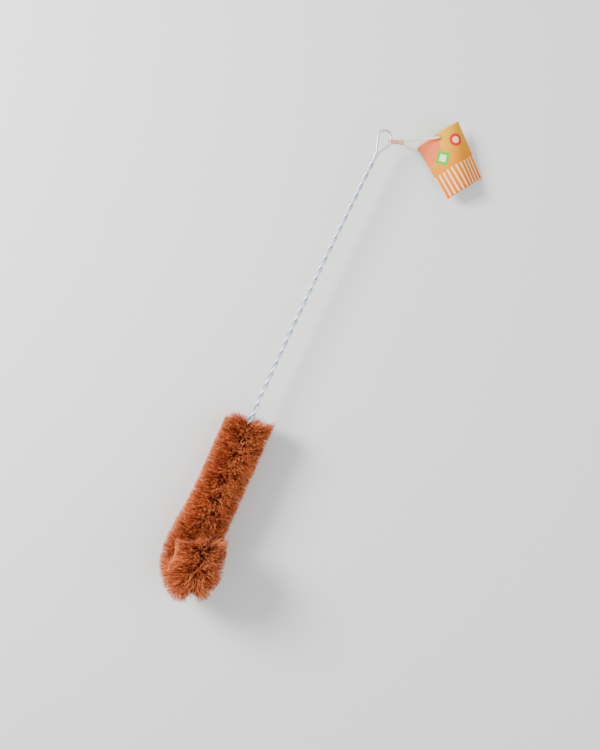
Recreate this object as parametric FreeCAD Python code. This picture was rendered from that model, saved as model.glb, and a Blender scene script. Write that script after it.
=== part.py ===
import FreeCAD, Part
import math
import os
import random

from FreeCAD import Vector

# Coir bottle brush, lying on a table with its hooked end up. Millimetres.
# X runs from the bristle head to the hanging eye, Y to the left of the handle, Z up.
# The origin is on the table, under the middle of the brush.

# Overall sizes
OVERALL_LENGTH = 450.0       # from the outside of the bent bristles to the outside of the eye
HEAD_LENGTH = 169.0          # the bristled part of that length

# Galvanised wire, folded in two at the eye and twisted
WIRE_DIAMETER = 2.0
STRAND_GAP = 0.06            # between the two strands of the twist
LAY_LENGTH = 20.3            # one whole turn of the twist
EASE_LENGTH = 8.0            # where the twist opens towards the eye
STEPS_PER_TURN = 6           # sections in one turn of the twist
WIRE_SIDES = 10              # flats that stand in for a round section
HANDLE_BOW = 6.5             # how far the handle bends to the right at the eye

# Hanging eye, measured on the middle of the wire from where the strands part
EYE_RADIUS = 6.0
EYE_REACH = 14.2             # from the parting to the middle of the round end
EYE_START_ANGLE = 130.0      # of the round end, from the handle's direction
EYE_END_ANGLE = -62.0
EYE_ARC_STEPS = 7
EYE_LEFT_LEG = (5.6, 3.3)    # a place on the left leg
EYE_CORNER = (10.4, -7.9)    # the sharp corner on the right
EYE_RIGHT_LEG = (5.2, -4.5)  # a place on the way back from the corner

# Bristle head
BRISTLE_RADIUS = 22.0
TUFT_DEPTH = 4.0             # from the tips of the tufts down to the grooves between them
TUFT_PITCH = 3.6             # along the wire
TUFTS_ROUND = 18             # round the wire
TUFT_SCATTER = 0.8           # how far apart tips and grooves stray from their even places
SCATTER_SEED = 7
TWIST_PER_ROW = 14.0         # how far each row of tufts turns from the last, in degrees
TOP_SLANT = 5.5              # of the bristles' upper end, in degrees
FLAT_DEPTH = 1.5             # how far the bristles are pressed flat under the head
WIRE_CLEARANCE = 0.05        # between the twisted wire and the bristles round it

# Hooked end: the head is bent back on itself
HOOK_RADIUS = 14.0
HOOK_LEAN = 22.0             # of the hook's plane from upright, to the right, in degrees
RETURN_YAW = 15.5            # of the returning leg, back to the left, in degrees
RETURN_YAW_RADIUS = 40.0
RETURN_LENGTH = 26.0         # from the end of the hook's half circle to the cut end
PARTING_GAP = 1.0            # between the bristles of the two legs
PARTING_MARGIN = 4.3         # how far past the cut end the bristles under it stay pressed down

# Hang tag, a card with one soft bend. Its right corner lies on the table, its left one on the band.
TAG_WIDTH = 45.0
TAG_LENGTH = 54.5
TAG_THICKNESS = 0.4
TAG_BEND_RADIUS = 12.5
TAG_BEND_AXIS = 72.0         # of the bend's axis from the card's short side, in degrees
TAG_RISE = 43.0              # of the card from its right corner up to the bend, in degrees
TAG_FALL = 28.0              # from the bend down to its left corner
TAG_CORNER_HEIGHT = 2.2      # of the left corner
TAG_HEADING = -36.0          # of the card's short side from the handle, in degrees
TAG_CENTRE = (21.5, -62.9)   # from where the strands part at the eye
TAG_EDGE_STEPS = 12
TAG_HOLE_DIAMETER = 4.0
TAG_HOLE_INSET = 4.5         # from the middle of the short side

# Rubber band that holds the tag
BAND_DIAMETER = 1.7
BAND_SIDES = 6
BAND_SEAT = 0.38             # where it goes round the wire, as a share of the leg above the eye's corner
BAND_SEAT_GAP = 0.1          # between the band and the wire there
BAND_RISE = 3.6              # of the band above and below the card at its hole
HITCH_STEPS = 8              # flats of the band round the wire
KNOT_LENGTH = 5.2
KNOT_DIAMETER = 4.4
KNOT_STEPS = 5               # flats along the knot
KNOT_DISTANCE = 9.0          # from the wire of the eye to the middle of the knot
KNOT_DROP = 2.0              # of the knot below the wire
STRAND_SPACING = 1.8         # between the strands that go into the knot

# The band's free strands, from the same place as the tag's middle, with the height last
BAND_OUT = [(20.0, -20.1, 17.2), (25.6, -27.1, 14.6), (29.6, -35.1, 13.0)]
BAND_BACK = [(30.0, -39.6, 3.6), (25.6, -35.0, 1.0), (19.6, -30.2, 1.0), (16.4, -25.6, 6.4),
             (15.6, -21.0, 12.2)]

WIRE_RADIUS = WIRE_DIAMETER / 2
BAND_RADIUS = BAND_DIAMETER / 2
STRAND_OFFSET = (WIRE_DIAMETER + STRAND_GAP) / 2
UP = Vector(0, 0, 1)
ARC_SHARE = 0.45             # of the shorter run that each arc of the band takes
MERGE_DISTANCE = 0.001


def radians(degrees):
    return math.radians(degrees)


# The middle line of the twist, from the eye to the cut end
LEAN = radians(HOOK_LEAN)
YAW = radians(RETURN_YAW)
HEAD_DIRECTION = Vector(-1, 0, 0)
HOOK_UP = Vector(0, -math.sin(LEAN), math.cos(LEAN))
HOOK_SIDE = Vector(0, math.cos(LEAN), math.sin(LEAN))
AXIS_HEIGHT = BRISTLE_RADIUS - FLAT_DEPTH
AXIS_Y = HOOK_RADIUS * math.sin(LEAN)
HEAD_TOP_X = HEAD_LENGTH - OVERALL_LENGTH / 2
HOOK_X = HOOK_RADIUS + BRISTLE_RADIUS - OVERALL_LENGTH / 2
PARTING_X = OVERALL_LENGTH / 2 - WIRE_RADIUS - EYE_RADIUS - EYE_REACH
HANDLE_SPAN = PARTING_X - HEAD_TOP_X
BOW_RADIUS = (HANDLE_SPAN ** 2 + HANDLE_BOW ** 2) / (2 * HANDLE_BOW)
BOW_ANGLE = math.asin(HANDLE_SPAN / BOW_RADIUS)

HANDLE_END = BOW_RADIUS * BOW_ANGLE
MAIN_END = HANDLE_END + HEAD_TOP_X - HOOK_X
HOOK_END = MAIN_END + math.pi * HOOK_RADIUS
YAW_END = HOOK_END + RETURN_YAW_RADIUS * YAW
WIRE_END = HOOK_END + RETURN_LENGTH


def axis_at(station):
    """The point of the middle line at a distance from the eye, and its three directions:
    along the line, towards the inside of the hook, and along the hook's own axis."""
    head_top = Vector(HEAD_TOP_X, AXIS_Y, AXIS_HEIGHT)
    if station < HANDLE_END:
        angle = BOW_ANGLE - station / BOW_RADIUS
        reach = BOW_RADIUS * math.sin(angle)
        bow = BOW_RADIUS * (1 - math.cos(angle))
        along = Vector(-math.cos(angle), math.sin(angle), 0)
        inward = (HOOK_UP - along * HOOK_UP.dot(along)).normalize()
        return head_top + Vector(reach, -bow, 0), along, inward, along.cross(inward)
    if station < MAIN_END:
        return head_top + HEAD_DIRECTION * (station - HANDLE_END), HEAD_DIRECTION, HOOK_UP, HOOK_SIDE
    hook_start = head_top + HEAD_DIRECTION * (MAIN_END - HANDLE_END)
    if station < HOOK_END:
        angle = (station - MAIN_END) / HOOK_RADIUS
        along = HEAD_DIRECTION * math.cos(angle) + HOOK_UP * math.sin(angle)
        inward = HOOK_UP * math.cos(angle) - HEAD_DIRECTION * math.sin(angle)
        return hook_start + (HOOK_UP - inward) * HOOK_RADIUS, along, inward, HOOK_SIDE
    angle = min(station - HOOK_END, RETURN_YAW_RADIUS * YAW) / RETURN_YAW_RADIUS
    along = HOOK_SIDE * math.sin(angle) - HEAD_DIRECTION * math.cos(angle)
    side = HOOK_SIDE * math.cos(angle) + HEAD_DIRECTION * math.sin(angle)
    point = hook_start + HOOK_UP * (2 * HOOK_RADIUS) + (HOOK_SIDE - side) * RETURN_YAW_RADIUS
    return point + along * max(station - YAW_END, 0), along, HOOK_UP * -1, side


def strand_point(station, sign):
    """A point on the middle of one strand. The twist opens over the ease length at the eye."""
    turned = station - EASE_LENGTH / 2
    if station < EASE_LENGTH:
        turned = station ** 2 / (2 * EASE_LENGTH)
    phase = math.pi / 2 + LEAN + 2 * math.pi * turned / LAY_LENGTH
    point, along, inward, side = axis_at(station)
    return point + (inward * math.cos(phase) + side * math.sin(phase)) * (sign * STRAND_OFFSET)


def top_of_section(station):
    """The direction that is up on the handle and turns over with the hook."""
    point, along, inward, side = axis_at(station)
    return inward * math.cos(LEAN) + side * math.sin(LEAN)


def eye_points():
    """Points on the middle of the wire round the eye, from its left leg to its right one."""
    flat = [EYE_LEFT_LEG]
    for step in range(EYE_ARC_STEPS + 1):
        share = step / EYE_ARC_STEPS
        angle = radians(EYE_START_ANGLE + (EYE_END_ANGLE - EYE_START_ANGLE) * share)
        flat.append((EYE_REACH + EYE_RADIUS * math.cos(angle), EYE_RADIUS * math.sin(angle)))
    flat += [EYE_CORNER, EYE_RIGHT_LEG]
    start = axis_at(0)[0]
    return [start + Vector(reach, left, 0) for reach, left in flat]


def twisted_wire():
    """One wire: up one strand from the cut end, round the eye and down the other strand."""
    steps = math.ceil(WIRE_END / LAY_LENGTH * STEPS_PER_TURN)
    stations = [WIRE_END * step / steps for step in range(steps + 1)]
    eye = eye_points()
    middle = [strand_point(station, 1) for station in reversed(stations)]
    middle += eye + [strand_point(station, -1) for station in stations]
    tops = [top_of_section(station) for station in reversed(stations)]
    tops += [UP] * len(eye) + [top_of_section(station) for station in stations]
    sections = []
    for index, (point, top) in enumerate(zip(middle, tops)):
        before = middle[max(index - 1, 0)]
        after = middle[min(index + 1, len(middle) - 1)]
        along = (after - before).normalize()
        across = top.cross(along).normalize()
        sections.append(round_section(point, across, along.cross(across), WIRE_RADIUS, WIRE_SIDES))
    return Part.makeLoft(sections, True, True)


def round_section(centre, across, top, radius, sides):
    """A round section drawn with flats, its corners on the true radius."""
    corners = []
    for side in range(sides + 1):
        angle = 2 * math.pi * side / sides
        corners.append(centre + (across * math.cos(angle) + top * math.sin(angle)) * radius)
    return Part.makePolygon(corners)


def sweep(route, radius, sides):
    """A tube along a route of lines and arcs."""
    first = route.OrderedEdges[0]
    start = first.valueAt(first.FirstParameter)
    along = first.tangentAt(first.FirstParameter)
    across = UP.cross(along).normalize()
    section = round_section(start, across, along.cross(across), radius, sides)
    return route.makePipeShell([section], True, False)


# The bristles, one mass of coir fibres that the twist holds by their middles
RETURN_CUT, RETURN_DIRECTION = axis_at(WIRE_END)[:2]
PARTING_REACH = HOOK_RADIUS - PARTING_GAP / 2


def trimmed(station, angle, radius):
    """A point of the bristles' outside. They stop at the table and half way between the two legs."""
    point, along, inward, side = axis_at(station)
    outward = inward * math.cos(angle) + side * math.sin(angle)
    slant = math.tan(radians(TOP_SLANT)) * max(1 - (station - HANDLE_END) / BRISTLE_RADIUS, 0)
    under_return = (point - RETURN_CUT).dot(RETURN_DIRECTION) < PARTING_MARGIN
    if under_return and radius * math.cos(angle) > PARTING_REACH:
        radius = PARTING_REACH / math.cos(angle)
    if outward.z < 0:
        radius = min(radius, point.z / -outward.z)
    tip = point + outward * radius
    return tip + HEAD_DIRECTION * (slant * outward.y * radius)


def coir_bristles():
    """Rows of pointed tufts that follow the wire round the hook, with the wire's way cut through."""
    scatter = random.Random(SCATTER_SEED)
    rows = round((WIRE_END - HANDLE_END) / TUFT_PITCH)
    pitch = (WIRE_END - HANDLE_END) / rows
    step = 2 * math.pi / TUFTS_ROUND

    def stray():
        return TUFT_SCATTER * (scatter.random() - 0.5)

    def ring(row, radius, turn):
        station = HANDLE_END + row * pitch
        start = radians(TWIST_PER_ROW) * row + turn * step
        return [trimmed(station, start + tuft * step, radius + stray()) for tuft in range(TUFTS_ROUND)]

    grooves = [ring(row, BRISTLE_RADIUS - TUFT_DEPTH, 0) for row in range(rows + 1)]
    tips = [ring(row + 0.5, BRISTLE_RADIUS, 0.5) for row in range(rows)]
    ends = [ring(row, BRISTLE_RADIUS, 0.5) for row in (0, rows)]
    triangles = []
    for row in range(rows):
        for tuft in range(TUFTS_ROUND):
            after = (tuft + 1) % TUFTS_ROUND
            corners = [grooves[row][tuft], grooves[row][after]]
            corners += [grooves[row + 1][after], grooves[row + 1][tuft]]
            if row == 0:
                corners.insert(1, ends[0][tuft])
            if row == rows - 1:
                corners.insert(-1, ends[1][tuft])
            for first, second in zip(corners, corners[1:] + corners[:1]):
                triangles.append((first, second, tips[row][tuft]))
    for end, row, order in ((ends[0], 0, 1), (ends[1], rows, -1)):
        centre = axis_at(HANDLE_END + row * pitch)[0]
        for tuft in range(TUFTS_ROUND):
            after = (tuft + 1) % TUFTS_ROUND
            rim = [grooves[row][tuft], end[tuft], grooves[row][after]]
            triangles += [(centre,) + pair[::order] for pair in zip(rim[1:], rim)]
    mass = Part.Shape()
    mass.makeShapeFromMesh(as_topology(triangles), MERGE_DISTANCE)
    return Part.Solid(mass.Shells[0]).cut(wire_way())


def as_topology(triangles):
    """Corner points, each once, and the triangles as numbers of those points."""
    numbers = {}
    facets = []
    for triangle in triangles:
        facets.append(tuple(numbers.setdefault(tuple(corner), len(numbers)) for corner in triangle))
    return [Vector(*point) for point in numbers], facets


def wire_way():
    """The round way through the bristles that the twisted wire fills."""
    def point(station):
        return axis_at(station)[0]

    mouth = point(HANDLE_END) - HEAD_DIRECTION * TUFT_PITCH
    hook_top = (MAIN_END + HOOK_END) / 2
    yaw_middle = (HOOK_END + YAW_END) / 2
    route = Part.Wire([
        Part.makeLine(mouth, point(MAIN_END)),
        Part.Arc(point(MAIN_END), point(hook_top), point(HOOK_END)).toShape(),
        Part.Arc(point(HOOK_END), point(yaw_middle), point(YAW_END)).toShape(),
        Part.makeLine(point(YAW_END), point(WIRE_END + TUFT_PITCH)),
    ])
    flat_radius = STRAND_OFFSET + WIRE_RADIUS + WIRE_CLEARANCE
    return sweep(route, flat_radius / math.cos(math.pi / WIRE_SIDES), WIRE_SIDES)


# The tag and its band, laid out from where the strands part at the eye
TAG_TURN = radians(TAG_HEADING)
BEND = radians(TAG_BEND_AXIS)
RISE = radians(TAG_RISE)
FALL = radians(TAG_FALL)
SHORT_SIDE = Vector(math.cos(TAG_TURN), math.sin(TAG_TURN), 0)
LONG_SIDE = UP.cross(SHORT_SIDE)
BEND_AXIS = SHORT_SIDE * math.cos(BEND) + LONG_SIDE * math.sin(BEND)
BEND_ACROSS = UP.cross(BEND_AXIS)
TAG_REACH = (TAG_WIDTH * math.sin(BEND) + TAG_LENGTH * math.cos(BEND)) / 2

# Lengths of the card from its right corner up to the bend, round the bend, and down to the left
BEND_LENGTH = TAG_BEND_RADIUS * (RISE + FALL)
BEND_DROP = TAG_BEND_RADIUS * (math.cos(FALL) - math.cos(RISE))
SLOPES_LENGTH = 2 * TAG_REACH - BEND_LENGTH
RISE_HEIGHT = SLOPES_LENGTH * math.sin(FALL) - BEND_DROP + TAG_CORNER_HEIGHT
RISE_LENGTH = RISE_HEIGHT / (math.sin(RISE) + math.sin(FALL))


def from_parting(x, y, z):
    return Vector(PARTING_X + x, AXIS_Y - HANDLE_BOW + y, z)


def bent_profile(length):
    """The card's underside at a length from its right corner: how far over, how high, and its slope."""
    rise = min(length, RISE_LENGTH)
    fall = max(length - RISE_LENGTH - BEND_LENGTH, 0)
    slope = RISE - (length - rise - fall) / TAG_BEND_RADIUS
    over = rise * math.cos(RISE) + TAG_BEND_RADIUS * (math.sin(RISE) - math.sin(slope))
    high = rise * math.sin(RISE) + TAG_BEND_RADIUS * (math.cos(slope) - math.cos(RISE))
    return over + fall * math.cos(FALL), high - fall * math.sin(FALL), slope


def on_tag(across, along, height):
    """A place on the bent card, from its flat place: across and along from its middle, and the
    height over its underside. Also the direction that the card faces there."""
    flat = SHORT_SIDE * across + LONG_SIDE * along
    over, high, slope = bent_profile(TAG_REACH + flat.dot(BEND_ACROSS))
    facing = UP * math.cos(slope) - BEND_ACROSS * math.sin(slope)
    middle = from_parting(*TAG_CENTRE, high) + BEND_AXIS * flat.dot(BEND_AXIS)
    return middle + BEND_ACROSS * (over - bent_profile(TAG_REACH)[0]) + facing * height, facing


def tag_edge(start, end):
    """One edge of the card as seen from above, between two corners of the flat card."""
    points = []
    for step in range(TAG_EDGE_STEPS + 1):
        share = step / TAG_EDGE_STEPS
        across = start[0] + (end[0] - start[0]) * share
        along = start[1] + (end[1] - start[1]) * share
        place = on_tag(across, along, 0)[0]
        points.append(Vector(place.x, place.y, 0))
    curve = Part.BSplineCurve()
    curve.interpolate(points)
    return curve.toShape()


def bent_sheet(margin):
    """A wide sheet with the card's bend, larger than the card by a margin."""
    lengths = [-margin, RISE_LENGTH, RISE_LENGTH + BEND_LENGTH / 2]
    lengths += [RISE_LENGTH + BEND_LENGTH, 2 * TAG_REACH + margin]

    def face_line(height):
        places = []
        for length in lengths:
            run = length - TAG_REACH
            flat = (run * BEND_ACROSS.dot(SHORT_SIDE), run * BEND_ACROSS.dot(LONG_SIDE))
            places.append(on_tag(*flat, height)[0])
        arc = Part.Arc(*places[1:4]).toShape()
        return [Part.makeLine(*places[:2]), arc, Part.makeLine(*places[3:])]

    below = face_line(0)
    above = face_line(TAG_THICKNESS)
    ends = [Part.makeLine(below[i].Vertexes[i].Point, above[i].Vertexes[i].Point) for i in (0, -1)]
    section = Part.Face(Part.Wire(Part.__sortEdges__(below + above + ends)))
    section.translate(BEND_AXIS * -(TAG_LENGTH + margin))
    return section.extrude(BEND_AXIS * (2 * (TAG_LENGTH + margin)))


def hang_tag():
    """A bent sheet, cut to the card's outline and punched."""
    half = (TAG_WIDTH / 2, TAG_LENGTH / 2)
    corners = [(-half[0], -half[1]), (half[0], -half[1]), half, (-half[0], half[1])]
    outline = Part.Wire([tag_edge(a, b) for a, b in zip(corners, corners[1:] + corners[:1])])
    below = Part.Face(outline)
    below.translate(UP * -TAG_LENGTH)
    card = bent_sheet(TAG_WIDTH).common(below.extrude(UP * (2 * TAG_LENGTH)))
    under, facing = on_tag(0, half[1] - TAG_HOLE_INSET, -TAG_HOLE_DIAMETER)
    punch = Part.makeCylinder(TAG_HOLE_DIAMETER / 2, 2 * TAG_HOLE_DIAMETER, under, facing)
    return card.cut(punch)


def knot_places():
    """The middle of the wire where the band goes round it, the knot's middle, and the way between."""
    points = eye_points()
    corner, leg = points[-2], points[-3]
    seat = corner + (leg - corner) * BAND_SEAT
    reach = (leg - corner).cross(UP).normalize() * KNOT_DISTANCE
    knot = seat + reach - UP * KNOT_DROP
    return seat, knot, (knot - seat).normalize()


def band_knot():
    """The tied end of the band: two strands side by side round the wire of the eye, and the knot."""
    seat, knot, out = knot_places()
    side = out.cross(UP).normalize()
    over = side.cross(out)
    half = STRAND_SPACING / 2
    radius = WIRE_RADIUS + BAND_SEAT_GAP + BAND_RADIUS
    slope = math.asin((radius - half) / (knot - seat).Length)
    turns = []
    for step in range(HITCH_STEPS + 1):
        angle = (math.pi + 2 * slope) * step / HITCH_STEPS - slope
        away = over * math.cos(angle) - out * math.sin(angle)
        turns.append((seat + away * radius, away))
    turns = [(knot + over * half, turns[0][1])] + turns + [(knot - over * half, turns[-1][1])]
    sections = [round_section(centre, away, side, BAND_RADIUS, BAND_SIDES) for centre, away in turns]
    strand = Part.makeLoft(sections, True, True)
    return knot_body(knot, out).fuse([strand.translated(side * place) for place in (-half, half)])


def knot_body(middle, out):
    """A turned barrel of a few flats, along the pull of the band."""
    profile = []
    for step in range(KNOT_STEPS + 1):
        angle = math.pi * step / KNOT_STEPS
        profile.append(Vector(KNOT_LENGTH / 2 * math.cos(angle), KNOT_DIAMETER / 2 * math.sin(angle), 0))
    half = Part.makePolygon(profile + profile[:1])
    body = Part.Face(half).revolve(Vector(0, 0, 0), Vector(1, 0, 0), 360)
    body.Placement = FreeCAD.Placement(middle, FreeCAD.Rotation(Vector(1, 0, 0), out))
    return body


def tag_band():
    """The free loop of the band: out from the knot, through the card's hole and back under it."""
    middle = knot_places()[1]
    hole = TAG_LENGTH / 2 - TAG_HOLE_INSET
    turn = [on_tag(0, hole, TAG_THICKNESS + BAND_RISE)[0], on_tag(0, hole, -BAND_RISE)[0]]
    out = [from_parting(*place) for place in BAND_OUT]
    back = [from_parting(*place) for place in BAND_BACK]
    route, radii = rounded_route([middle] + out + turn + back + [middle])
    print("tag_band length", round(route.Length, 1), "radii", [round(radius, 1) for radius in radii])
    return sweep(route, BAND_RADIUS, BAND_SIDES).cut(band_knot())


def rounded_route(points):
    """Straight runs joined by tangent arcs, each as large as its two runs allow."""
    edges = []
    radii = []
    last = points[0]
    for before, corner, after in zip(points, points[1:], points[2:]):
        back = (before - corner).normalize()
        ahead = (after - corner).normalize()
        half_turn = (math.pi - back.getAngle(ahead)) / 2
        length = ARC_SHARE * min((before - corner).Length, (after - corner).Length)
        radius = length / math.tan(half_turn)
        inside = (back + ahead).normalize()
        arc_middle = corner + inside * (radius / math.cos(half_turn) - radius)
        start = corner + back * length
        end = corner + ahead * length
        edges += [Part.makeLine(last, start), Part.Arc(start, arc_middle, end).toShape()]
        radii.append(radius)
        last = end
    edges.append(Part.makeLine(last, points[-1]))
    return Part.Wire(edges), radii


def write_parts():
    os.makedirs("parts", exist_ok=True)
    makers = [twisted_wire, coir_bristles, band_knot, tag_band, hang_tag]
    for maker in makers:
        shape = maker()
        solids = shape.Solids
        if not shape.isValid() or len(solids) != 1:
            raise ValueError(f"{maker.__name__} is not one valid solid")
        solids[0].exportStep(f"parts/{maker.__name__}.step")
        print(maker.__name__, "volume", round(solids[0].Volume, 1))


write_parts()
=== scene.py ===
import math
import random

import bmesh
import bpy
from bpy.props import FloatProperty, FloatVectorProperty, IntProperty, PointerProperty
from bpy.types import Operator, Panel, PropertyGroup
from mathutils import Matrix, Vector


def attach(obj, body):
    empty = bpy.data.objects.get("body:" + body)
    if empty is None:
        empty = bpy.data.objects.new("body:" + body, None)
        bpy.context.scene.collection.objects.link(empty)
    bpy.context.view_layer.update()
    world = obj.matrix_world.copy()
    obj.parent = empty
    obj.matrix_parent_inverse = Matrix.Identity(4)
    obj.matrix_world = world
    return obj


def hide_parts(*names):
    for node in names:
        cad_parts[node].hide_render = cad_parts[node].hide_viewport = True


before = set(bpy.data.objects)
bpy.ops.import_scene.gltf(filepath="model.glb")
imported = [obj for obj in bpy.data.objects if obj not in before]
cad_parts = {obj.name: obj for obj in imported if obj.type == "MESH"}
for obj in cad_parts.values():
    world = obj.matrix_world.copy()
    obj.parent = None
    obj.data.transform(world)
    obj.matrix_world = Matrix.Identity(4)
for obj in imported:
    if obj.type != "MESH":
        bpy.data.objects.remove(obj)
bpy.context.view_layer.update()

bl_info = {
    "name": "Coir bottle brush",
    "version": (1, 0, 0),
    "blender": (4, 5, 0),
    "location": "3D View > Sidebar > Brush",
    "description": "Dresses a coir bottle brush that lies on a table with its hooked end up",
    "category": "Object",
}

MM = 0.001
UP = Vector((0, 0, 1))
HEAD_DIRECTION = Vector((-1, 0, 0))


def linear(hex_colour):
    """The linear colour, with full alpha, of an sRGB hex value."""
    channels = [int(hex_colour[place:place + 2], 16) / 255 for place in (1, 3, 5)]
    return [c / 12.92 if c <= 0.04045 else ((c + 0.055) / 1.055) ** 2.4 for c in channels] + [1.0]


def length(name, description, millimetres):
    return FloatProperty(name=name, description=description, default=millimetres * MM, unit="LENGTH")


def angle(name, description, degrees):
    return FloatProperty(name=name, description=description, default=math.radians(degrees), subtype="ANGLE")


def colour(name, description, hex_colour):
    return FloatVectorProperty(name=name, description=description, default=linear(hex_colour)[:3],
                               subtype="COLOR", min=0, max=1)


class WireSizes(PropertyGroup):
    overall_length: length("Overall length", "From the bent bristles to the outside of the eye", 450)
    head_length: length("Head length", "The bristled part of the overall length", 169)
    diameter: length("Wire diameter", "Of the single wire", 2)
    strand_gap: length("Strand gap", "Between the two strands of the twist", 0.06)
    lay_length: length("Lay length", "One whole turn of the twist", 20.3)
    ease_length: length("Ease length", "Where the twist opens towards the eye", 8)
    handle_bow: length("Handle bow", "How far the handle bends to the right at the eye", 6.5)
    crook: length("Crook", "How far the wire strays to the right just above the bristles", 0.9)
    crook_opening: length("Crook opening", "How far the strands part where they enter the bristles", 0.5)
    eye_radius: length("Eye radius", "Of the round end, on the middle of the wire", 6)
    eye_reach: length("Eye reach", "From where the strands part to the middle of the round end", 14.2)
    tuck: length("Tuck", "How far inside the bristles' cut end the wire stops", 4)
    tint: colour("Zinc", "Colour of the galvanised wire", "#CCD8E6")


class BristleSizes(PropertyGroup):
    radius: length("Radius", "From the wire to the trimmed tips", 22)
    flat_depth: length("Flat depth", "How far the bristles are pressed flat under the head", 1.5)
    hook_radius: length("Hook radius", "Of the bend at the end of the head", 14)
    hook_lean: angle("Hook lean", "Of the hook's plane from upright, to the right", 22)
    return_yaw: angle("Return yaw", "Of the returning leg, back to the left", 15.5)
    return_yaw_radius: length("Return yaw radius", "Of the bend of the returning leg", 40)
    return_length: length("Return length", "From the end of the half circle to the cut end", 26)
    top_slant: angle("Top slant", "Of the bristles' upper end", 5.5)
    parting_gap: length("Parting gap", "Between the bristles of the two legs", 1)
    top_dip: length("Top dip", "How far the fibres' roots lie inside their upper end", 5)
    cut_dip: length("Cut dip", "How far the fibres' roots lie inside the cut end", 5)
    cut_lean: length("Cut lean", "How far the upper tips at the cut end stand past the wire's", 2.8)
    dip_run: length("Dip run", "Over which either dip dies away along the head", 8)
    wander: length("Wander", "Of a fibre's tip along the head from its own place", 1.5)
    lock_lean: length("Lock lean", "How far the tips of a whole lock lean over together", 4)
    wave: length("Wave", "Of a fibre to either side on its way out", 1.2)
    curl: length("Curl", "How far a rough fibre's tip bends over", 4.5)
    thickness: length("Fibre thickness", "Of a fibre, drawn a little coarse so that it shows", 0.45)
    count: IntProperty(name="Fibres", description="How many fibres the twist holds", default=27000, min=100)
    light: colour("Light fibre", "Colour of the palest fibres", "#F2A060")
    middle: colour("Middle fibre", "Colour of most fibres", "#DA7040")
    dark: colour("Dark fibre", "Colour of the darkest fibres", "#5A2622")


class TagSizes(PropertyGroup):
    width: length("Width", "Across the card", 45)
    length: length("Length", "Along the card", 54.5)
    thickness: length("Thickness", "Of the card", 0.4)
    bend_radius: length("Bend radius", "Of the soft bend that the card has taken", 12.5)
    bend_axis: angle("Bend axis", "Of the bend's axis from the card's short side", 72)
    rise: angle("Rise", "Of the card from its right corner up to the bend", 43)
    fall: angle("Fall", "Of the card from the bend down to its left corner", 28)
    corner_height: length("Corner height", "Of the left corner, which lies on the band", 2.2)
    heading: angle("Heading", "Of the card's short side from the handle", -36)
    hole_diameter: length("Hole diameter", "Of the punched hole", 4)
    hole_inset: length("Hole inset", "From the middle of the short side to the hole", 4.5)
    yellow: colour("Yellow", "Colour of the card's upper field", "#DCA000")
    orange: colour("Orange", "Colour of the card's lower field", "#D46400")
    salmon: colour("Salmon", "Colour of the corner field", "#DC6C3C")


class BandSizes(PropertyGroup):
    diameter: length("Diameter", "Of the rubber strand", 1.7)
    spacing: length("Strand spacing", "Between the strands that go into the knot", 1.8)
    rise: length("Rise", "Of the band above and below the card at its hole", 3.6)
    knot_distance: length("Knot distance", "From the wire of the eye to the middle of the knot", 9)
    knot_drop: length("Knot drop", "Of the knot below the wire", 2)
    latex: colour("Latex", "Colour of the rubber", "#F5EADB")
    tied: colour("Tied latex", "Colour of the rubber where it is drawn tight", "#DCAA86")


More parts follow.
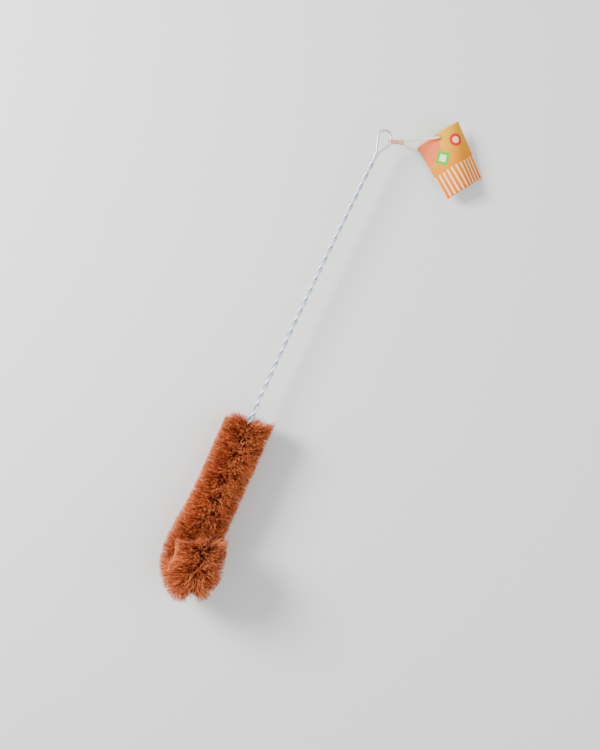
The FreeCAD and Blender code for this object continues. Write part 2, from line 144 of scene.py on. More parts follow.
class MiddleLine:
    """The middle of the twisted wire, measured from where the strands part at the eye."""

    def __init__(self, wire, bristles):
        lean = bristles.hook_lean
        span = wire.overall_length - wire.head_length
        span -= wire.diameter / 2 + wire.eye_radius + wire.eye_reach
        self.hook_up = Vector((0, -math.sin(lean), math.cos(lean)))
        self.hook_side = Vector((0, math.cos(lean), math.sin(lean)))
        self.hook_radius = bristles.hook_radius
        self.head_top = Vector((
            wire.head_length - wire.overall_length / 2,
            bristles.hook_radius * math.sin(lean),
            bristles.radius - bristles.flat_depth,
        ))
        self.bow_radius = (span ** 2 + wire.handle_bow ** 2) / (2 * wire.handle_bow)
        self.bow_angle = math.asin(span / self.bow_radius)
        self.yaw = bristles.return_yaw
        self.yaw_radius = bristles.return_yaw_radius
        self.handle_end = self.bow_radius * self.bow_angle
        self.main_end = self.handle_end + wire.head_length - bristles.hook_radius - bristles.radius
        self.hook_end = self.main_end + math.pi * bristles.hook_radius
        self.end = self.hook_end + bristles.return_length
        self.lay = wire.lay_length
        self.ease = wire.ease_length
        self.first_turn = math.pi / 2 + lean

    def twist(self, station):
        """The turn of the two strands about the middle line. It eases in at the eye."""
        turned = station - self.ease / 2
        if station < self.ease:
            turned = station ** 2 / (2 * self.ease)
        return self.first_turn + 2 * math.pi * turned / self.lay

    def at(self, station):
        """The point at a station, and the directions along, inside the hook and to its side."""
        if station < self.handle_end:
            turn = self.bow_angle - station / self.bow_radius
            reach = self.bow_radius * math.sin(turn)
            bow = self.bow_radius * (1 - math.cos(turn))
            along = Vector((-math.cos(turn), math.sin(turn), 0))
            inward = (self.hook_up - along * self.hook_up.dot(along)).normalized()
            return self.head_top + Vector((reach, -bow, 0)), along, inward, along.cross(inward)
        if station < self.main_end:
            point = self.head_top + HEAD_DIRECTION * (station - self.handle_end)
            return point, HEAD_DIRECTION, self.hook_up, self.hook_side
        hook_start = self.head_top + HEAD_DIRECTION * (self.main_end - self.handle_end)
        if station < self.hook_end:
            turn = (station - self.main_end) / self.hook_radius
            along = HEAD_DIRECTION * math.cos(turn) + self.hook_up * math.sin(turn)
            inward = self.hook_up * math.cos(turn) - HEAD_DIRECTION * math.sin(turn)
            return hook_start + (self.hook_up - inward) * self.hook_radius, along, inward, self.hook_side
        yaw_length = self.yaw_radius * self.yaw
        turn = min(station - self.hook_end, yaw_length) / self.yaw_radius
        along = self.hook_side * math.sin(turn) - HEAD_DIRECTION * math.cos(turn)
        side = self.hook_side * math.cos(turn) + HEAD_DIRECTION * math.sin(turn)
        point = hook_start + self.hook_up * (2 * self.hook_radius)
        point += (self.hook_side - side) * self.yaw_radius
        point += along * max(station - self.hook_end - yaw_length, 0)
        return point, along, -self.hook_up, side


def middle_line():
    return MiddleLine(bpy.context.scene.brush_wire, bpy.context.scene.brush_bristles)


def add(tree, kind, inputs, **settings):
    """Adds a node. Inputs are values or the outputs that feed them, settings the node's own."""
    node = tree.nodes.new("ShaderNode" + kind)
    stops = settings.pop("stops", None)
    for name, value in settings.items():
        setattr(node, name, value)
    for name, value in inputs.items():
        if isinstance(value, bpy.types.NodeSocket):
            tree.links.new(value, node.inputs[name])
        else:
            node.inputs[name].default_value = value
    if stops:
        ramp = node.color_ramp.elements
        while len(ramp) < len(stops):
            ramp.new(1)
        for element, (place, shade) in zip(ramp, stops):
            element.position = place
            element.color = shade
    return node


def new_material(name):
    """An empty material and its tree, with the shader joined to the output."""
    material = bpy.data.materials.new(name)
    material.use_nodes = True
    tree = material.node_tree
    shader = next(node for node in tree.nodes if node.type == "BSDF_PRINCIPLED")
    return material, tree, shader


def shader_values(shader, **values):
    for name, value in values.items():
        shader.inputs[name.replace("_", " ")].default_value = value


def galvanised_steel(tint):
    """Electro-galvanised drawn steel wire: a pale bluish grey, satin metal with a faint mottle."""
    material, tree, shader = new_material("galvanised_steel_drawn")
    shader_values(shader, Metallic=1.0, Roughness=0.42)
    place = add(tree, "TexCoord", {}).outputs["Object"]
    mottle = add(tree, "TexNoise", {"Vector": place, "Scale": 1 / (3.5 * MM), "Detail": 3.0})
    deep = [channel * 0.84 for channel in tint]
    shade = add(tree, "ValToRGB", {"Fac": mottle.outputs["Fac"]},
                stops=[(0.35, (*deep, 1)), (0.62, (*tint, 1))])
    tree.links.new(shade.outputs["Color"], shader.inputs["Base Color"])
    drawn = add(tree, "TexNoise", {"Vector": place, "Scale": 1 / (0.6 * MM), "Detail": 2.0})
    bump = add(tree, "Bump", {"Height": drawn.outputs["Fac"], "Strength": 0.15, "Distance": 0.05 * MM})
    tree.links.new(bump.outputs["Normal"], shader.inputs["Normal"])
    return material


def coir(sizes):
    """Coconut fibre, cut and undyed: stiff matt fibres, each its own shade, with painted shade that darkens
    them towards the wire and leaves them palest at the cut tips.
    """
    material, tree, shader = new_material("coir_fibre_natural")
    shader_values(shader, Roughness=0.7, IOR=1.3)
    fibre = add(tree, "Attribute", {}, attribute_name="shade").outputs["Fac"]
    reach = add(tree, "Attribute", {}, attribute_name="reach").outputs["Fac"]
    tone = add(tree, "ValToRGB", {"Fac": fibre}, stops=[
        (0.1, (*sizes.dark, 1)), (0.5, (*sizes.middle, 1)), (0.95, (*sizes.light, 1))])
    # Painted shade: by their reach, the fibres darken towards the wire, deep inside the bristles where
    # shade falls
    depth = add(tree, "ValToRGB", {"Fac": reach}, stops=[
        (0.3, linear("#664850")), (0.78, linear("#E6DAD8")), (1.0, linear("#FFF6E0"))])
    mix = add(tree, "Mix", {"Factor": 1.0, "A": tone.outputs["Color"], "B": depth.outputs["Color"]},
              data_type="RGBA", blend_type="MULTIPLY")
    tree.links.new(mix.outputs["Result"], shader.inputs["Base Color"])
    return material


def latex_rubber(tint):
    """Natural latex rubber band: cream, smooth and a little see-through, so light spreads inside it."""
    material, tree, shader = new_material("latex_rubber_moulded")
    shader_values(shader, Roughness=0.42, IOR=1.52, Subsurface_Weight=0.25, Subsurface_Scale=1.5 * MM)
    place = add(tree, "TexCoord", {}).outputs["Object"]
    cloud = add(tree, "TexNoise", {"Vector": place, "Scale": 1 / (4 * MM), "Detail": 2.0})
    deep = (tint[0] * 0.92, tint[1] * 0.84, tint[2] * 0.76, 1)
    shade = add(tree, "ValToRGB", {"Fac": cloud.outputs["Fac"]}, stops=[(0.3, deep), (0.6, (*tint, 1))])
    tree.links.new(shade.outputs["Color"], shader.inputs["Base Color"])
    return material


def smooth(mesh):
    mesh.shade_smooth()
    return mesh


def show(name, mesh, material, slot, *nodes):
    """Links a finished mesh as a piece that rides with the brush and stands for the named nodes."""
    piece = bpy.data.objects.new(name, mesh)
    bpy.context.scene.collection.objects.link(piece)
    if material:
        mesh.materials.append(material)
    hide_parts(*nodes)
    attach(piece, "root")
    return piece


def mesh_of(curve):
    """The tube mesh that Blender makes of a curve and its bevel."""
    holder = bpy.data.objects.new(curve.name, curve)
    bpy.context.scene.collection.objects.link(holder)
    ready = holder.evaluated_get(bpy.context.evaluated_depsgraph_get())
    mesh = bpy.data.meshes.new_from_object(ready)
    bpy.data.objects.remove(holder)
    bpy.data.curves.remove(curve)
    return smooth(mesh)


def tube_curve(name, bevel, resolution, caps=True):
    curve = bpy.data.curves.new(name, "CURVE")
    curve.dimensions = "3D"
    curve.bevel_depth = bevel
    curve.bevel_resolution = resolution
    curve.use_fill_caps = caps
    return curve


def add_spline(curve, points, kind="NURBS", order=3, steps=8):
    """A spline through or near the points. The order is set last, because new points reset it."""
    spline = curve.splines.new(kind)
    spline.points.add(len(points) - 1)
    for place, point in zip(spline.points, points):
        place.co = (*point, 1)
    if kind == "NURBS":
        spline.order_u = order
        spline.use_endpoint_u = True
        spline.resolution_u = steps
    return spline


# The eye, as (reach from the parting, to the left) in millimetres
EYE_LEFT_LEG = (5.6, 3.3)
EYE_CORNER = (10.4, -7.9)
EYE_RIGHT_LEG = (5.2, -4.5)
EYE_START_ANGLE = 130
EYE_END_ANGLE = -62
EYE_ARC_STEPS = 7


def eye_points(line, wire):
    """Points that the wire follows round the eye, from its left leg to its right one."""
    flat = [EYE_LEFT_LEG]
    for step in range(EYE_ARC_STEPS + 1):
        turn = math.radians(EYE_START_ANGLE + (EYE_END_ANGLE - EYE_START_ANGLE) * step / EYE_ARC_STEPS)
        reach = wire.eye_reach + wire.eye_radius * math.cos(turn)
        flat.append((reach / MM, wire.eye_radius * math.sin(turn) / MM))
    flat += [EYE_CORNER, EYE_RIGHT_LEG]
    start = line.at(0)[0]
    return [start + Vector((reach, left, 0)) * MM for reach, left in flat]


POINTS_PER_TURN = 12

# The wire strays and its strands part just above the bristles: where, and over what length
CROOK_ABOVE = 8 * MM
CROOK_RUN = 5 * MM
OPENING_ABOVE = 2 * MM
OPENING_RUN = 3 * MM


def strand_points(line, wire, sign):
    """Points that one strand of the twist follows, a little outside it because the curve cuts in."""
    end = line.end - wire.tuck
    steps = math.ceil(end / wire.lay_length * POINTS_PER_TURN)
    cut_in = (2 + math.cos(2 * math.pi / POINTS_PER_TURN)) / 3
    points = []
    for step in range(steps + 1):
        station = end * step / steps
        phase = line.twist(station)
        point, along, inward, side = line.at(station)
        past = station - line.handle_end
        crook = wire.crook * math.exp(-((past + CROOK_ABOVE) / CROOK_RUN) ** 2)
        opening = wire.crook_opening * math.exp(-((past + OPENING_ABOVE) / OPENING_RUN) ** 2)
        offset = ((wire.diameter + wire.strand_gap) / 2 + opening) / cut_in
        point = point - Vector((0, crook, 0))
        points.append(point + (inward * math.cos(phase) + side * math.sin(phase)) * (sign * offset))
    return points


class BRUSH_OT_wire(Operator):
    """Makes the galvanised wire: twisted double along the handle and head, with the hanging eye"""

    bl_idname = "brush.wire"
    bl_label = "Twisted wire"

    def execute(self, context):
        wire = context.scene.brush_wire
        line = middle_line()
        up_strand = strand_points(line, wire, 1)[::-1]
        route = up_strand + eye_points(line, wire) + strand_points(line, wire, -1)
        curve = tube_curve("wire_route", wire.diameter / 2, 4)
        add_spline(curve, route, order=4, steps=3)
        steel = galvanised_steel(wire.tint)
        show("galvanised_wire", mesh_of(curve), steel, "galvanised_wire", "twisted_wire")
        return {"FINISHED"}


# The camera looks straight down, so these are also the picture's right and up in the frame
CAMERA_PLACE = Vector((-2.38, -18.39, 1120.5)) * MM
CAMERA_TURN = math.radians(-66.0)
PAGE_RIGHT = Vector((math.cos(CAMERA_TURN), math.sin(CAMERA_TURN), 0))
PAGE_UP = UP.cross(PAGE_RIGHT)

BRISTLE_GROUPS = 5
FIBRE_SIDES = 3
LOCK_WAVES = 9
CLUMP_PITCH = 1.8 * MM
CLUMPS_AROUND = 70
FIBRE_SHARES = (0, 0.4, 0.68, 0.84, 0.94, 1)  # of the way to the tip, closer where it curls
TAPER = 0.35  # the share of its thickness that a fibre loses towards the tip
UNDERGROWTH = 0.15  # the share of short fibres, which hide the wire
BROKEN = 0.2  # the share of fibres that end before the trimmed outline
FAN = 1.25  # spread, in radians, of the fibres about the two ways out of the twist
ROOT_OUT = 1.2 * MM  # from the middle line to where a fibre leaves the wire
TABLE_CLEARANCE = 0.3 * MM
PARTING_PAST_CUT = 4.3 * MM  # how far past the cut end the lower leg still parts from the upper one
CUT_SHADOW = 0.2  # painted shade: how much darker the fibres are at the cut end
CUT_SHADOW_RUN = 6 * MM

# The bent end's outline seen from above: where its tips gather in lobes they reach further than
# the trimmed radius, and where they part less far. One share for every ten degrees, clockwise
# from the picture's right, about the middle of the bend (in metres, at the height of its tips)
BEND_MIDDLE = Vector((-189.8, -3.4, 34)) * MM
BEND_REACH = 30 * MM
BEND_SHARES = [
    0.98, 1.0, 1.07, 1.13, 1.1, 1.08, 0.88, 1.1, 1.05, 0.8, 0.72, 0.97,
    0.99, 0.98, 0.96, 0.95, 0.96, 1.02, 1.04, 1.09, 1.09, 1.12, 1.13, 1.13,
    1.11, 1.1, 1.03, 1.0, 1.0, 1.0, 1.0, 1.0, 1.0, 1.0, 1.0, 0.99,
]

# How far the tips stand past the plain cut at the bristles' upper end and at the returning leg's
# cut end, in millimetres, from the right side to the left. They part round the wire, and the left
# corners are worn round
TOP_EDGE = [3, 2.6, 2.4, 1, -5, -2, 2.4, 4.5, -5]
CUT_EDGE = [2, 2, 2, 1.5, 0.5, -1, -2.5, -4.5, -7]


class Trim:
    """Where the fibres end: on the trimmed outline, the table, or half way to the other leg."""

    def __init__(self, line, sizes):
        self.line = line
        self.sizes = sizes
        self.cut_point, self.cut_direction = line.at(line.end)[:2]
        self.parting = sizes.hook_radius - sizes.parting_gap / 2

    def tip(self, station, turn, radius):
        sizes = self.sizes
        point, along, inward, side = self.line.at(station)
        outward = inward * math.cos(turn) + side * math.sin(turn)
        share = max(1 - (station - self.line.handle_end) / sizes.radius, 0)
        past = (point - self.cut_point).dot(self.cut_direction)
        under = past < PARTING_PAST_CUT + past_cut(CUT_EDGE, outward)
        if under and radius * math.cos(turn) > self.parting:
            radius = self.parting / math.cos(turn)
        if outward.z < 0:
            radius = min(radius, point.z / -outward.z)
        slant = math.tan(sizes.top_slant) * share * outward.y * radius
        return point + outward * radius + HEAD_DIRECTION * slant


class Fibre:
    """One fibre's points from the twist to its tip, the two ways across it, its thickness and shade."""

    def __init__(self, points, ways, thickness, shade):
        self.points = points
        self.ways = ways
        self.thickness = thickness
        self.shade = shade

    def corner(self, step, turn):
        way = self.ways[0] * math.cos(turn) + self.ways[1] * math.sin(turn)
        return self.points[step] + way * (self.thickness / 2 * (1 - TAPER * FIBRE_SHARES[step] ** 4))


def gathered(tip):
    """The tip's place once the bend has drawn its neighbours together or parted them."""
    depth = (CAMERA_PLACE.z - BEND_MIDDLE.z) / (CAMERA_PLACE.z - tip.z)
    away = CAMERA_PLACE + (tip - CAMERA_PLACE) * depth - BEND_MIDDLE
    turn = math.degrees(math.atan2(-away.dot(PAGE_UP), away.dot(PAGE_RIGHT))) % 360 / 10
    before = math.floor(turn)
    after = turn - before
    share = BEND_SHARES[before % 36] * (1 - after) + BEND_SHARES[(before + 1) % 36] * after
    near = min(away.length / BEND_REACH, 1)
    return tip + Vector((away.x, away.y, 0)) * ((share - 1) * near ** 3 / depth)


def past_cut(edge, outward):
    """How far past the plain cut the tips stand that point this way."""
    place = (outward.y + 1) * (len(edge) - 1) / 2
    before = min(int(place), len(edge) - 2)
    return (edge[before] + (edge[before + 1] - edge[before]) * (place - before)) * MM


def roughness(outward):
    """How wild a fibre is, from 0 to 1. Those on the left side lie smoothly side by side."""
    return min(max((0.75 - outward.y) / 0.9, 0.15), 1)


def drawn_radius(draw, sizes, rough, short):
    """How far out a fibre reaches before it is trimmed."""
    radius = sizes.radius - (0.5 + 1.1 * rough) * MM * draw.random() ** 2
    if draw.random() < BROKEN:
        radius *= 0.6 + 0.38 * draw.random()
    if short:
        radius *= draw.uniform(0.2, 0.6)
    return radius


def end_shaped(station, place, outward, line, sizes):
    """The tip's station, folded back at the two ends of the head and following their worn edges."""
    low, high = line.handle_end, line.end
    station = high - abs(high - low - abs(station - low))
    station -= past_cut(TOP_EDGE, outward) * math.exp((low - place) / sizes.dip_run)
    past = past_cut(CUT_EDGE, outward) + sizes.cut_lean * outward.z
    return station + past * math.exp((place - high) / sizes.dip_run)


def bent_points(draw, sizes, rough, root, tip, outward, ways):
    """Points from the root to the tip, straight out at first, with a wave and a curl of their own."""
    straight = outward * (tip - root).dot(outward)
    drift = tip - root - straight
    wave = draw.gauss(0, 1) * sizes.wave * rough
    phase = 2 * math.pi * draw.random()
    heading = 2 * math.pi * draw.random()
    sway = ways[0] * math.cos(heading) + ways[1] * math.sin(heading)
    curl = abs(draw.gauss(0, 0.6)) * sizes.curl * rough
    points = []
    for share in FIBRE_SHARES:
        bent = wave * share * math.sin(phase + 7 * share) + curl * share ** 5
        point = root + straight * share + drift * share ** 1.5 + sway * bent
        point.z = max(point.z, TABLE_CLEARANCE)
        points.append(point)
    return points


def drawn_shade(draw, clump_shade, lock_shade, rough, from_cut):
    """A fibre's tone, from 0 to 1, much of it shared with its clump and its lock, with painted shade near
    the cut end.
    """
    shade = 0.5 * clump_shade + 0.15 * lock_shade + 0.35 * draw.random() + draw.gauss(0, 0.1)
    shade = 0.5 + (shade - 0.5) * (0.85 + 0.3 * rough)
    # Painted shade: the fibres darken towards the cut end
    shade -= CUT_SHADOW * math.exp(-from_cut / CUT_SHADOW_RUN)
    return min(max(shade, 0), 1)


def make_fibre(line, trim, draw, sizes, clumps, locks):
    """One fibre that leaves the twist at a drawn place and bends with its neighbours."""
    low, high = line.handle_end, line.end
    place = low + (high - low) * draw.random()
    station = place + sizes.top_dip * math.exp((low - place) / sizes.dip_run)
    station -= sizes.cut_dip * math.exp((place - high) / sizes.dip_run)
    turn = line.twist(station) + math.pi * (draw.randrange(2) + 0.5) + draw.gauss(0, FAN)
    short = draw.random() < UNDERGROWTH
    if short:
        turn = draw.uniform(0, 2 * math.pi)
    point, along, inward, side = line.at(station)
    outward = inward * math.cos(turn) + side * math.sin(turn)
    rough = roughness(outward)
    radius = drawn_radius(draw, sizes, rough, short)
    tip_station = place + draw.gauss(0, 1) * sizes.wander
    tip_turn = turn + draw.gauss(0, 0.1 + 0.4 * short)
    lean, lock_shade = locks.lean(place - low, turn)
    tip_station += lean[0] * sizes.lock_lean * rough
    tip_turn += lean[1] * sizes.lock_lean * rough / sizes.radius
    clump, clump_shade = clumps.near(tip_station, tip_turn)
    pull = (0.3 + 0.5 * rough) * draw.random()
    tip_station += (clump[0] - tip_station) * pull
    tip_turn += (clump[1] - tip_turn) * pull
    tip_station = end_shaped(tip_station, place, outward, line, sizes)
    tip = gathered(trim.tip(tip_station, tip_turn, radius))
    ways = along, outward.cross(along)
    points = bent_points(draw, sizes, rough, point + outward * ROOT_OUT, tip, outward, ways)
    thickness = sizes.thickness * (0.7 + 0.6 * draw.random())
    shade = drawn_shade(draw, clump_shade, lock_shade, rough, high - place)
    return Fibre(points, ways, thickness, shade)


class Clumps:
    """Places on the trimmed outline that neighbouring tips lean towards, each with a shade."""

    def __init__(self, line, draw, pitch, around):
        self.start = line.handle_end
        self.pitch = pitch
        self.around = around
        self.rows = math.ceil((line.end - line.handle_end) / pitch) + 4
        self.places = [
            [(draw.random(), draw.random(), draw.random()) for _ in range(around)]
            for _ in range(self.rows)]

    def near(self, station, turn):
        row = math.floor((station - self.start) / self.pitch)
        column = math.floor(turn / (2 * math.pi) * self.around)
        along, round_about, shade = self.places[row % self.rows][column % self.around]
        place = self.start + (row + along) * self.pitch
        return (place, (column + round_about) / self.around * 2 * math.pi), shade


class Locks:
    """Broad locks of fibres that lean one way or the other, from a few crossing waves."""

    def __init__(self, draw):
        self.waves = []
        for _ in range(LOCK_WAVES):
            run = 2 * math.pi / (draw.uniform(9, 22) * MM)
            run *= draw.choice((-1, 1))
            self.waves.append((run, draw.randrange(1, 5), draw.uniform(0, 2 * math.pi)))

    def lean(self, reach, turn):
        """How far along the head and round it a fibre leans, each about -1 to 1, and its lock's shade."""
        sums = [0, 0, 0]
        for number, (run, around, start) in enumerate(self.waves):
            sums[number % 3] += math.sin(run * reach + around * turn + start)
        per_sum = LOCK_WAVES / 3
        return (sums[0] / per_sum, sums[1] / per_sum), 0.5 + 0.5 * sums[2] / per_sum


def fibre_mesh(name, fibres):
    """One closed mesh of many fibres, with each corner's reach from the wire and its fibre's shade."""
    bm = bmesh.new()
    shade_layer = bm.verts.layers.float.new("shade")
    reach_layer = bm.verts.layers.float.new("reach")
    number_layer = bm.faces.layers.int.new("fibre")
    turns = [2 * math.pi * corner / FIBRE_SIDES for corner in range(FIBRE_SIDES)]
    tips = []
    for number, fibre in enumerate(fibres):
        corners = []
        for turn in turns:
            corners.append(bm.verts.new(fibre.corner(0, turn)))
            corners[-1][shade_layer] = fibre.shade
        tips.append(bm.faces.new(corners))
        tips[-1][number_layer] = number
    for step, share in enumerate(FIBRE_SHARES[1:], 1):
        tips = bmesh.ops.extrude_discrete_faces(bm, faces=tips)["faces"]
        for tip in tips:
            fibre = fibres[tip[number_layer]]
            for turn, corner in zip(turns, tip.verts):
                corner.co = fibre.corner(step, turn)
                corner[reach_layer] = share
    bmesh.ops.holes_fill(bm, edges=[edge for edge in bm.edges if edge.is_boundary], sides=FIBRE_SIDES)
    bmesh.ops.recalc_face_normals(bm, faces=bm.faces)
    mesh = bpy.data.meshes.new(name)
    bm.to_mesh(mesh)
    bm.free()
    return smooth(mesh)


class BRUSH_OT_bristles(Operator):
    """Makes the coir fibres that the twist holds, in groups along the wire"""

    bl_idname = "brush.bristles"
    bl_label = "Coir bristles"

    def execute(self, context):
        sizes = context.scene.brush_bristles
        line = middle_line()
        draw = random.Random(11)
        trim = Trim(line, sizes)
        clumps = Clumps(line, draw, CLUMP_PITCH, CLUMPS_AROUND)
        locks = Locks(draw)
        fibres = [make_fibre(line, trim, draw, sizes, clumps, locks) for _ in range(sizes.count)]
        material = coir(sizes)
        for group in range(BRISTLE_GROUPS):
            mesh = fibre_mesh(f"coir_fibres_{group + 1}", fibres[group::BRISTLE_GROUPS])
            show(f"coir_fibres_{group + 1}", mesh, material, "coir", "coir_bristles")
        return {"FINISHED"}


# The tag's middle from where the strands part at the eye, in millimetres
TAG_CENTRE = Vector((21.5, -62.9, 0))


class Card:
    """The bent card: where a place on the flat card lies, and which way the card faces there."""

    def __init__(self, line, sizes):
        turn, bend = sizes.heading, sizes.bend_axis
        self.sizes = sizes
        self.short_side = Vector((math.cos(turn), math.sin(turn), 0))
        self.long_side = UP.cross(self.short_side)
        self.axis = self.short_side * math.cos(bend) + self.long_side * math.sin(bend)
        self.across_bend = UP.cross(self.axis)
        self.reach = (sizes.width * math.sin(bend) + sizes.length * math.cos(bend)) / 2
        self.bend_length = sizes.bend_radius * (sizes.rise + sizes.fall)
        drop = sizes.bend_radius * (math.cos(sizes.fall) - math.cos(sizes.rise))
        height = (2 * self.reach - self.bend_length) * math.sin(sizes.fall) - drop + sizes.corner_height
        self.rise_length = height / (math.sin(sizes.rise) + math.sin(sizes.fall))
        start = line.at(0)[0]
        self.middle = Vector((start.x, start.y, 0)) + TAG_CENTRE * MM
        self.middle_over = self.profile(self.reach)[0]

    def profile(self, length):
        """The underside at a length from the right corner: how far over, how high, and its slope."""
        rise, fall, radius = self.sizes.rise, self.sizes.fall, self.sizes.bend_radius
        up = min(length, self.rise_length)
        down = max(length - self.rise_length - self.bend_length, 0)
        slope = rise - (length - up - down) / radius
        over = up * math.cos(rise) + radius * (math.sin(rise) - math.sin(slope)) + down * math.cos(fall)
        high = up * math.sin(rise) + radius * (math.cos(slope) - math.cos(rise)) - down * math.sin(fall)
        return over, high, slope

    def place(self, across, along, height):
        flat = self.short_side * across + self.long_side * along
        over, high, slope = self.profile(self.reach + flat.dot(self.across_bend))
        facing = UP * math.cos(slope) - self.across_bend * math.sin(slope)
        run = self.axis * flat.dot(self.axis) + self.across_bend * (over - self.middle_over)
        return self.middle + run + UP * high + facing * height


CARD_COLUMNS = 20
CARD_ROWS = 24


def printed_card(sizes):
    """Coated card, offset printed: a satin sheet with flat fields of orange, yellow and salmon,
    a green diamond, a red ring and pale stripes."""
    material, tree, shader = new_material("coated_card_printed")
    shader_values(shader, Roughness=0.6, IOR=1.2)
    flat = add(tree, "UVMap", {}, uv_map="card").outputs["UV"]
    parts = add(tree, "SeparateXYZ", {"Vector": flat})
    across, along = parts.outputs["X"], parts.outputs["Y"]  # in millimetres from the card's middle

    def figure(operation, *values):
        return add(tree, "Math", dict(enumerate(values)), operation=operation).outputs[0]

    def over(base, paint, mask):
        return add(tree, "Mix", {"Factor": mask, "A": base, "B": paint}, data_type="RGBA").outputs["Result"]

    def distance(x, y):
        dx = figure("SUBTRACT", across, x)
        dy = figure("SUBTRACT", along, y)
        return figure("SQRT", figure("ADD", figure("MULTIPLY", dx, dx), figure("MULTIPLY", dy, dy)))

    rise = add(tree, "MapRange", {"Value": along, "From Min": -20.0, "From Max": 24.0}).outputs["Result"]
    ground = over((*sizes.orange, 1), (*sizes.yellow, 1), rise)
    ground = over(ground, (*sizes.salmon, 1), figure("LESS_THAN", distance(-22, 27), 21.0))
    diamond = figure("ADD", figure("ABSOLUTE", figure("SUBTRACT", across, -7.0)),
                     figure("ABSOLUTE", figure("SUBTRACT", along, 6.0)))
    ground = over(ground, linear("#54AC22"), figure("LESS_THAN", diamond, 8.0))
    ground = over(ground, linear("#D9F0B4"), figure("LESS_THAN", diamond, 4.2))
    ring = distance(11.0, 14.0)
    ground = over(ground, linear("#D2241C"), figure("LESS_THAN", ring, 5.6))
    ground = over(ground, linear("#F9C9A6"), figure("LESS_THAN", ring, 3.0))
    stripe = figure("LESS_THAN", figure("PINGPONG", across, 2.2), 0.85)
    stripe = figure("MULTIPLY", stripe, figure("LESS_THAN", along, -5.0))
    stripe = figure("MULTIPLY", stripe, 0.75)
    ground = over(ground, linear("#FFDCA0"), stripe)
    tree.links.new(ground, shader.inputs["Base Color"])
    return material


def plain_card():
    """The uncoated back and cut edge of the same card: pale grey-cream paper pulp, matt."""
    material, tree, shader = new_material("card_uncoated")
    shader_values(shader, Roughness=0.85, IOR=1.5)
    place = add(tree, "TexCoord", {}).outputs["Object"]
    pulp = add(tree, "TexNoise", {"Vector": place, "Scale": 1 / (1.2 * MM), "Detail": 4.0})
    shade = add(tree, "ValToRGB", {"Fac": pulp.outputs["Fac"]},
                stops=[(0.3, linear("#D8D0C2")), (0.7, linear("#EDE7DB"))])
    tree.links.new(shade.outputs["Color"], shader.inputs["Base Color"])
    return material


class BRUSH_OT_tag(Operator):
    """Makes the bent card tag with its punched hole and plain printed fields"""

    bl_idname = "brush.tag"
    bl_label = "Card tag"

    def execute(self, context):
        sizes = context.scene.brush_tag
        card = Card(middle_line(), sizes)
        bm = bmesh.new()
        bmesh.ops.create_grid(bm, x_segments=CARD_COLUMNS, y_segments=CARD_ROWS, size=0.5)
        bmesh.ops.scale(bm, vec=(sizes.width, sizes.length, 1), verts=bm.verts)
        hole_at = Vector((0, sizes.length / 2 - sizes.hole_inset, 0))
        cell = Vector((sizes.width / CARD_COLUMNS, sizes.length / CARD_ROWS, 0))
        near = [face for face in bm.faces
                if abs(face.calc_center_median().x) < 1.2 * cell.x
                and abs(face.calc_center_median().y - hole_at.y) < 1.2 * cell.y]
        bmesh.ops.delete(bm, geom=near, context="FACES")
        rim = [edge for edge in bm.edges if edge.is_boundary
               and abs(edge.verts[0].co.x) < 3 * cell.x
               and abs(edge.verts[0].co.y - hole_at.y) < 3 * cell.y
               and all(abs(v.co.y) < sizes.length / 2 - cell.y / 2 for v in edge.verts)]
        circle = bmesh.ops.create_circle(bm, segments=len(rim), radius=sizes.hole_diameter / 2)["verts"]
        bmesh.ops.translate(bm, verts=circle, vec=hole_at)
        loop = {edge for vert in circle for edge in vert.link_edges}
        bmesh.ops.bridge_loops(bm, edges=rim + list(loop))
        uv = bm.loops.layers.uv.new("card")
        for face in bm.faces:
            for corner in face.loops:
                corner[uv].uv = (corner.vert.co.x / MM, corner.vert.co.y / MM)
        bmesh.ops.recalc_face_normals(bm, faces=bm.faces)
        if sum(face.normal.z for face in bm.faces) < 0:
            bmesh.ops.reverse_faces(bm, faces=bm.faces)
        extruded = bmesh.ops.extrude_face_region(bm, geom=bm.faces[:])["geom"]
        top = [item for item in extruded if isinstance(item, bmesh.types.BMVert)]
        bmesh.ops.translate(bm, verts=top, vec=(0, 0, sizes.thickness))
        bm.normal_update()
        for face in bm.faces:
            face.material_index = 0 if face.normal.z > 0.5 else 1
            face.smooth = abs(face.normal.z) > 0.5
        for vert in bm.verts:
            vert.co = card.place(*vert.co)
        bmesh.ops.recalc_face_normals(bm, faces=bm.faces)
        mesh = bpy.data.meshes.new("card_tag")
        bm.to_mesh(mesh)
        bm.free()
        show("card_tag", mesh, printed_card(sizes), "tag_card", "hang_tag")
        mesh.materials.append(plain_card())
        return {"FINISHED"}


# The band's free strands, from where the strands of the wire part, in millimetres
BAND_OUT = [(20.0, -20.1, 17.2), (25.6, -27.1, 14.6), (29.6, -35.1, 13.0)]
BAND_BACK = [
    (30.0, -39.6, 3.6), (25.6, -35.0, 1.0), (19.6, -30.2, 1.0), (16.4, -25.6, 6.4), (15.6, -21.0, 12.2),
]
BAND_SEAT = 0.38  # the share of the way from the eye's corner to its round end
HITCH_RADIUS = 1.1 * MM  # inside the band where it goes round the wire
KNOT_RADIUS = 1.6 * MM
KNOT_LENGTH = 3 * MM
KNOT_TURNS = 2
KNOT_STEPS = 18


def knot_places(line, wire, band):
    """The middle of the wire where the band goes round it, and the middle of the knot."""
    points = eye_points(line, wire)
    corner, leg = points[-2], points[-3]
    seat = corner + (leg - corner) * BAND_SEAT
    reach = (leg - corner).cross(UP).normalized() * band.knot_distance
    return seat, seat + reach - UP * band.knot_drop


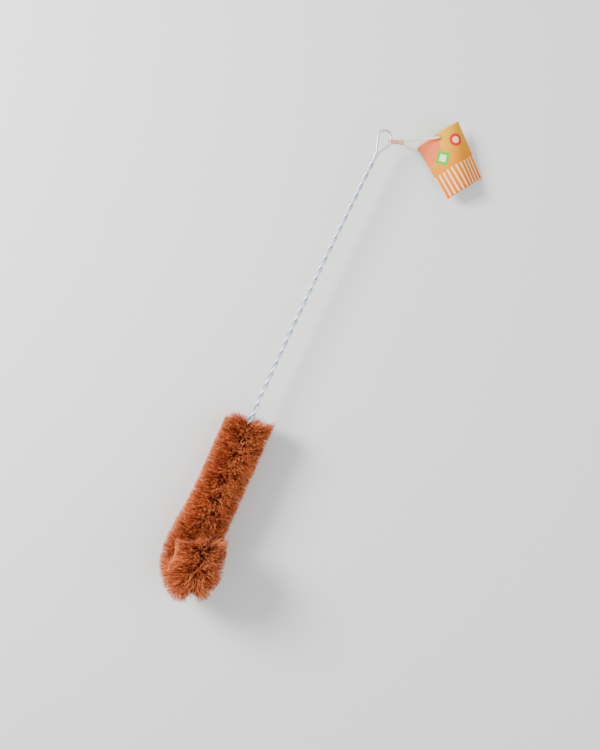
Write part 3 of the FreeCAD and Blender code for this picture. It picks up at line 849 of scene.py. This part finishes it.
class BRUSH_OT_band(Operator):
    """Makes the rubber band: its free loop through the tag, and its hitch and knot at the eye"""

    bl_idname = "brush.band"
    bl_label = "Rubber band"

    def execute(self, context):
        scene = context.scene
        band, tag = scene.brush_band, scene.brush_tag
        line = middle_line()
        material = latex_rubber(band.latex)
        seat, knot = knot_places(line, scene.brush_wire, band)
        knot_piece = self.make_knot(seat, knot, band, latex_rubber(band.tied))
        start = line.at(0)[0]
        base = Vector((start.x, start.y, 0))
        card = Card(line, tag)
        hole = tag.length / 2 - tag.hole_inset
        turn = [card.place(0, hole, tag.thickness + band.rise), card.place(0, hole, -band.rise)]
        out = [base + Vector(place) * MM for place in BAND_OUT]
        back = [base + Vector(place) * MM for place in BAND_BACK]
        curve = tube_curve("band_loop", band.diameter / 2, 3)
        add_spline(curve, [knot, *out, *turn, *back, knot], order=3, steps=12)
        loop = bpy.data.objects.new("band_loop", curve)
        scene.collection.objects.link(loop)
        curve.materials.append(material)
        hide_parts("tag_band")
        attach(loop, "root")
        return {"FINISHED"}

    def make_knot(self, seat, knot, band, material):
        out = (knot - seat).normalized()
        side = out.cross(UP).normalized()
        over = side.cross(out)
        radius = band.diameter / 2
        half = band.spacing / 2
        round_wire = HITCH_RADIUS + radius
        curve = tube_curve("band_knot_route", radius, 3)
        for shift in (side * radius * 0.9, side * radius * -0.9):
            route = [knot + over * half]
            route.append(seat + over * round_wire + out * 1.5 * MM)
            for step in range(5):
                turn = math.pi / 2 + math.pi * step / 4
                route.append(seat + (over * math.sin(turn) + out * math.cos(turn)) * round_wire * 1.08)
            route.append(seat - over * round_wire + out * 1.5 * MM)
            route.append(knot - over * half)
            add_spline(curve, [point + shift for point in route], order=3, steps=8)
        curl = []
        for step in range(KNOT_STEPS + 1):
            turn = 2 * math.pi * KNOT_TURNS * step / KNOT_STEPS
            around = over * math.sin(turn) + side * math.cos(turn)
            curl.append(knot + out * (KNOT_LENGTH * (step / KNOT_STEPS - 0.5)) + around * KNOT_RADIUS)
        add_spline(curve, curl, order=3, steps=6)
        return show("band_knot_tied", mesh_of(curve), material, "rubber_band", "band_knot")


FOCAL_PIXELS = 1257.14
LONG_SIDE_PIXELS = 750
SENSOR = 36.0


def painted_floor():
    """Matt emulsion on a smooth board: pale, without gloss."""
    material, tree, shader = new_material("emulsion_paint_matt")
    shader_values(shader, Roughness=0.9, Base_Color=linear("#DAD9D5"))
    return material


class BRUSH_OT_stage(Operator):
    """Makes the pale floor, the soft lights and the camera that looks straight down"""

    bl_idname = "brush.stage"
    bl_label = "Floor, lights and camera"

    def execute(self, context):
        scene = context.scene
        bm = bmesh.new()
        bmesh.ops.create_grid(bm, x_segments=1, y_segments=1, size=3)
        mesh = bpy.data.meshes.new("floor")
        bm.to_mesh(mesh)
        bm.free()
        mesh.materials.append(painted_floor())
        floor = bpy.data.objects.new("floor", mesh)
        scene.collection.objects.link(floor)
        camera = bpy.data.objects.new("camera", bpy.data.cameras.new("camera"))
        camera.data.sensor_width = SENSOR
        camera.data.lens = FOCAL_PIXELS * SENSOR / LONG_SIDE_PIXELS
        camera.location = CAMERA_PLACE
        camera.rotation_euler = (0, 0, CAMERA_TURN)
        scene.collection.objects.link(camera)
        scene.camera = camera
        # Lights are placed as the picture sees them: to its right, up its page and above the floor
        for name, at, size, power in (("key", (-0.95, 0.5, 0.8), 0.6, 42.0),
                                      ("fill", (0.9, -0.3, 1.1), 1.4, 12.0)):
            lamp = bpy.data.objects.new(name, bpy.data.lights.new(name, "AREA"))
            lamp.data.shape = "DISK"
            lamp.data.size = size
            lamp.data.energy = power
            lamp.location = PAGE_RIGHT * at[0] + PAGE_UP * at[1] + UP * at[2]
            lamp.rotation_euler = (-lamp.location).to_track_quat("-Z", "Y").to_euler()
            scene.collection.objects.link(lamp)
        world = bpy.data.worlds.new("studio")
        world.use_nodes = True
        sky = world.node_tree.nodes["Background"]
        sky.inputs["Color"].default_value = linear("#E8ECF2")
        sky.inputs["Strength"].default_value = 1.05
        scene.world = world
        return {"FINISHED"}


class BRUSH_PT_panel(Panel):
    bl_label = "Coir bottle brush"
    bl_idname = "BRUSH_PT_panel"
    bl_space_type = "VIEW_3D"
    bl_region_type = "UI"
    bl_category = "Brush"

    def draw(self, context):
        for maker in MAKERS:
            self.layout.operator(maker.bl_idname)
        for group in SIZES:
            box = self.layout.box()
            for name in SIZES[group].__annotations__:
                box.prop(getattr(context.scene, group), name)


MAKERS = (BRUSH_OT_wire, BRUSH_OT_bristles, BRUSH_OT_tag, BRUSH_OT_band, BRUSH_OT_stage)
SIZES = {
    "brush_wire": WireSizes,
    "brush_bristles": BristleSizes,
    "brush_tag": TagSizes,
    "brush_band": BandSizes,
}


def register():
    for group, sizes in SIZES.items():
        bpy.utils.register_class(sizes)
        setattr(bpy.types.Scene, group, PointerProperty(type=sizes))
    for maker in (*MAKERS, BRUSH_PT_panel):
        bpy.utils.register_class(maker)


def unregister():
    for maker in (*MAKERS, BRUSH_PT_panel):
        bpy.utils.unregister_class(maker)
    for group, sizes in SIZES.items():
        delattr(bpy.types.Scene, group)
        bpy.utils.unregister_class(sizes)


def main():
    register()
    bpy.ops.brush.wire()
    bpy.ops.brush.bristles()
    bpy.ops.brush.tag()
    bpy.ops.brush.band()
    bpy.ops.brush.stage()


if __name__ == "__main__":
    main()
